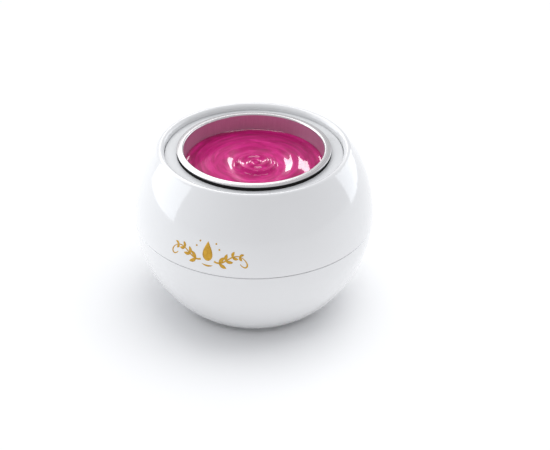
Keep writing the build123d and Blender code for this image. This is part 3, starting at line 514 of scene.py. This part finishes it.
def make_wax():
    """The melted wax: rippled where it was poured, climbing the cup's wall at its edge."""
    edge = WAX_HIGH.x - WAX_GAP
    low, top = WAX_LOW.z + WAX_GAP, WAX_HIGH.z
    taper = WAX_HIGH.x - WAX_FLOOR_RADIUS
    points = []
    faces = []
    rings = []

    def add_ring(radius, height_at):
        rings.append(range(len(points), len(points) + WAX_SIDES))
        for side in range(WAX_SIDES):
            around = 2 * math.pi * side / WAX_SIDES
            points.append((radius * math.cos(around), radius * math.sin(around), height_at(around)))

    def close(ring, height, up):
        centre = len(points)
        points.append((0, 0, height))
        for side in range(WAX_SIDES):
            corners = (ring[side], ring[(side + 1) % WAX_SIDES], centre)
            faces.append(corners if up else corners[::-1])

    for number in range(1, WAX_RINGS + 1):
        radius = edge * (1 - (1 - number / WAX_RINGS) ** WAX_CROWDING)
        add_ring(radius, lambda around, radius=radius: top + wax_height(radius, around, edge))
    for number in range(WAX_CORNER_RINGS):
        turn = math.pi / 2 * number / (WAX_CORNER_RINGS - 1)
        radius = edge - taper - WAX_CORNER * (1 - math.cos(turn))
        add_ring(radius, lambda around, turn=turn: low + WAX_CORNER * (1 - math.sin(turn)))
    for inner, outer in zip(rings, rings[1:]):
        for side in range(WAX_SIDES):
            after = (side + 1) % WAX_SIDES
            faces.append((inner[side], outer[side], outer[after], inner[after]))
    close(rings[0], top + wax_height(0.0, 0.0, edge), True)
    close(rings[-1], low, False)
    wax = smooth_mesh("melted_wax", points, faces)
    give(wax, wax_material())
    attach(wax, "cup")
    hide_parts("wax_fill")
    return wax


# ---------------------------------------------------------------- printed marks
class Ribbons:
    """Thin closed strokes laid on a surface. place(u, v) gives a point and its outward normal."""

    ACROSS = 4
    AHEAD = 1e-4  # share of a stroke that gives its direction
    THINNEST = 0.02 * MM

    def __init__(self, place, proud, sunk):
        self.place, self.proud, self.sunk = place, proud, sunk
        self.points, self.faces = [], []

    def stroke(self, centre, half_width, count=40):
        """centre(t) gives (u, v), and half_width(t) the half width, both in metres, for t from 0 to 1."""
        sections = []
        for number in range(count + 1):
            share = number / count
            middle, ahead = Vector(centre(share)), Vector(centre(share + self.AHEAD))
            run = (ahead - middle).normalized()
            side = Vector((-run.y, run.x)) * max(half_width(share), self.THINNEST)
            section = []
            for depth in (self.proud, -self.sunk):
                for part in range(self.ACROSS + 1):
                    spot = middle + side * (2 * part / self.ACROSS - 1) * (1 if depth > 0 else -1)
                    point, normal = self.place(spot.x, spot.y)
                    section.append(len(self.points))
                    self.points.append(point + normal * depth)
            sections.append(section)
        for near, far in zip(sections, sections[1:]):
            for part in range(len(near)):
                after = (part + 1) % len(near)
                self.faces.append((near[part], near[after], far[after], far[part]))
        self.faces.append(tuple(reversed(sections[0])))
        self.faces.append(tuple(sections[-1]))

    def ring(self, middle, radius, half_width, count=48):
        """A closed round stroke."""
        first = len(self.points)
        for number in range(count):
            around = 2 * math.pi * number / count
            for reach, depth in ((-1, self.proud), (1, self.proud), (1, -self.sunk), (-1, -self.sunk)):
                out = radius + reach * half_width
                point, normal = self.place(middle[0] + out * math.cos(around),
                                           middle[1] + out * math.sin(around))
                self.points.append(point + normal * depth)
        for number in range(count):
            near, far = first + 4 * number, first + 4 * ((number + 1) % count)
            for part in range(4):
                after = (part + 1) % 4
                self.faces.append((near + part, near + after, far + after, far + part))

    def made(self, name, material, body):
        """The strokes as one piece that rides on a body."""
        obj = smooth_mesh(name, self.points, self.faces)
        mesh = bmesh.new()
        mesh.from_mesh(obj.data)
        bmesh.ops.recalc_face_normals(mesh, faces=mesh.faces)
        mesh.to_mesh(obj.data)
        mesh.free()
        give(obj, material)
        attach(obj, body)
        return obj


def on_ball(u, v):
    """The ball's surface u metres round from the front towards +X and v metres above its equator."""
    around, up = u / BALL_RADIUS, math.asin(v / BALL_RADIUS)
    normal = Vector((math.sin(around) * math.cos(up), -math.cos(around) * math.cos(up), math.sin(up)))
    return BALL_CENTRE + BALL_RADIUS * normal, normal


def bezier(*points):
    """The Bezier curve with those control points, as a function of the share of it."""
    def at(share):
        spots = [Vector(point) for point in points]
        while len(spots) > 1:
            spots = [first.lerp(second, share) for first, second in zip(spots, spots[1:])]
        return spots[0]
    return at


ORNAMENT_MIDDLE = (0.2 * MM, 10.2 * MM)  # along the equator from the front, and above the equator
LEAF_PAIRS = 4


def make_ornament():
    """Gold print on the front: a drop between two leafy sprigs that curl at their ends."""
    print_foil = Ribbons(on_ball, 0.02 * MM, 0.06 * MM)
    east, north = ORNAMENT_MIDDLE

    def draw(points, width, swell, count=40):
        spots = [(east + x * MM, north + y * MM) for x, y in points]
        print_foil.stroke(bezier(*spots), lambda t: width * MM * swell(t), count)

    def pointed(t):
        return math.sin(math.pi * t) ** 0.8 if 0 < t < 1 else 0.0

    def drop(t):
        return math.sin(math.pi * min(1.0, t) ** 0.62) ** 0.9 if 0 < t < 1 else 0.0

    draw([(0, -4.6), (0, 5.8)], 2.7, drop, 48)
    draw([(-3.0, -6.6), (0, -8.0), (3.0, -6.6)], 0.5, pointed)
    for hand in (-1, 1):
        stem = [(3.6 * hand, -4.2), (9.0 * hand, -7.4), (12.5 * hand, 3.6), (18.6 * hand, -1.2)]
        draw(stem, 0.5, lambda t: 0.45 + 0.55 * (1 - t), 60)
        draw([(18.6 * hand, -1.2), (22.4 * hand, -4.6), (19.8 * hand, -8.0), (17.0 * hand, -4.2)], 0.42,
             lambda t: 0.45 + 0.55 * math.sin(math.pi * t))
        spine = bezier(*stem)
        for number in range(LEAF_PAIRS):
            share = (number + 0.7) / (LEAF_PAIRS + 0.2)
            root, ahead = spine(share), spine(share + 0.01)
            run = (ahead - root).normalized()
            length = 4.6 - 0.65 * number
            for side in (-1, 1):
                lean = Vector((run.x * 0.75 - run.y * 0.66 * side, run.y * 0.75 + run.x * 0.66 * side))
                tip = root + lean * length
                middle = root + lean * length * 0.5 + Vector((-lean.y, lean.x)) * 0.5 * side
                draw([tuple(root), tuple(middle), tuple(tip)], 0.98 - 0.1 * number, pointed, 24)
    for x, y in ((-6.2, 2.4), (6.2, 2.4), (-4.4, 5.2), (4.4, 5.2)):
        draw([(x - 0.5, y), (x + 0.5, y)], 0.5, lambda t: math.sqrt(max(0.0, 1 - (2 * t - 1) ** 2)), 16)
    return print_foil.made("front_ornament", gold_foil(), "pot")


ROCKER_SIDE = math.radians(26)  # the switch faces this far round from the back towards -X
MARK_REACH = 2.7 * MM  # from the rocker's middle to each mark
BAR_HALF_HEIGHT = 1.15 * MM
BAR_HALF_WIDTH = 0.2 * MM
RING_RADIUS = 0.95 * MM
RING_HALF_WIDTH = 0.19 * MM


def make_rocker_marks():
    """White I and O on the two faces of the rocker."""
    mesh = nodes["switch_rocker"].data
    tree = BVHTree.FromPolygons([vertex.co for vertex in mesh.vertices],
                                [face.vertices for face in mesh.polygons])
    low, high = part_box("switch_rocker")
    middle = (low + high) / 2
    out = Vector((-math.sin(ROCKER_SIDE), math.cos(ROCKER_SIDE), 0))
    side = Vector((-out.y, out.x, 0))

    def on_rocker(u, v):
        start = middle + side * u + Vector((0, 0, v)) + out * 20 * MM
        point, normal, _, _ = tree.ray_cast(start, -out)
        return point, normal

    paint = Ribbons(on_rocker, 0.02 * MM, 0.05 * MM)
    paint.stroke(lambda t: (MARK_REACH, (2 * t - 1) * BAR_HALF_HEIGHT), lambda t: BAR_HALF_WIDTH, 8)
    paint.ring((-MARK_REACH, 0.0), RING_RADIUS, RING_HALF_WIDTH)
    white = satin_plastic("mark_white", (0.75, 0.75, 0.74), 0.5, 1800.0, 3e-6)
    return paint.made("rocker_marks", white, "rocker")


# ---------------------------------------------------------------- floor
FLOOR_RADIUS = 12.0
FLOOR_SIDES = 96
FLOOR_Z = -0.2 * MM


def make_floor():
    points = [(0, 0, FLOOR_Z)]
    for side in range(FLOOR_SIDES):
        around = 2 * math.pi * side / FLOOR_SIDES
        points.append((FLOOR_RADIUS * math.cos(around), FLOOR_RADIUS * math.sin(around), FLOOR_Z))
    faces = [(0, 1 + side, 1 + (side + 1) % FLOOR_SIDES) for side in range(FLOOR_SIDES)]
    floor = smooth_mesh("floor", points, faces)
    give(floor, Recipe("floor_white", Base_Color=(0.93, 0.935, 0.94, 1), Roughness=0.45).done())
    return floor


# ---------------------------------------------------------------- making
make_camera()
finish_nodes()
wax = make_wax()
prints = [make_ornament(), make_rocker_marks()]
floor = make_floor()
pot = [*nodes.values(), *prints]
make_light(lit_group("lit_pot", *pot), lit_group("lit_wax", wax), lit_group("lit_both", *pot, wax),
           lit_group("lit_floor", floor))
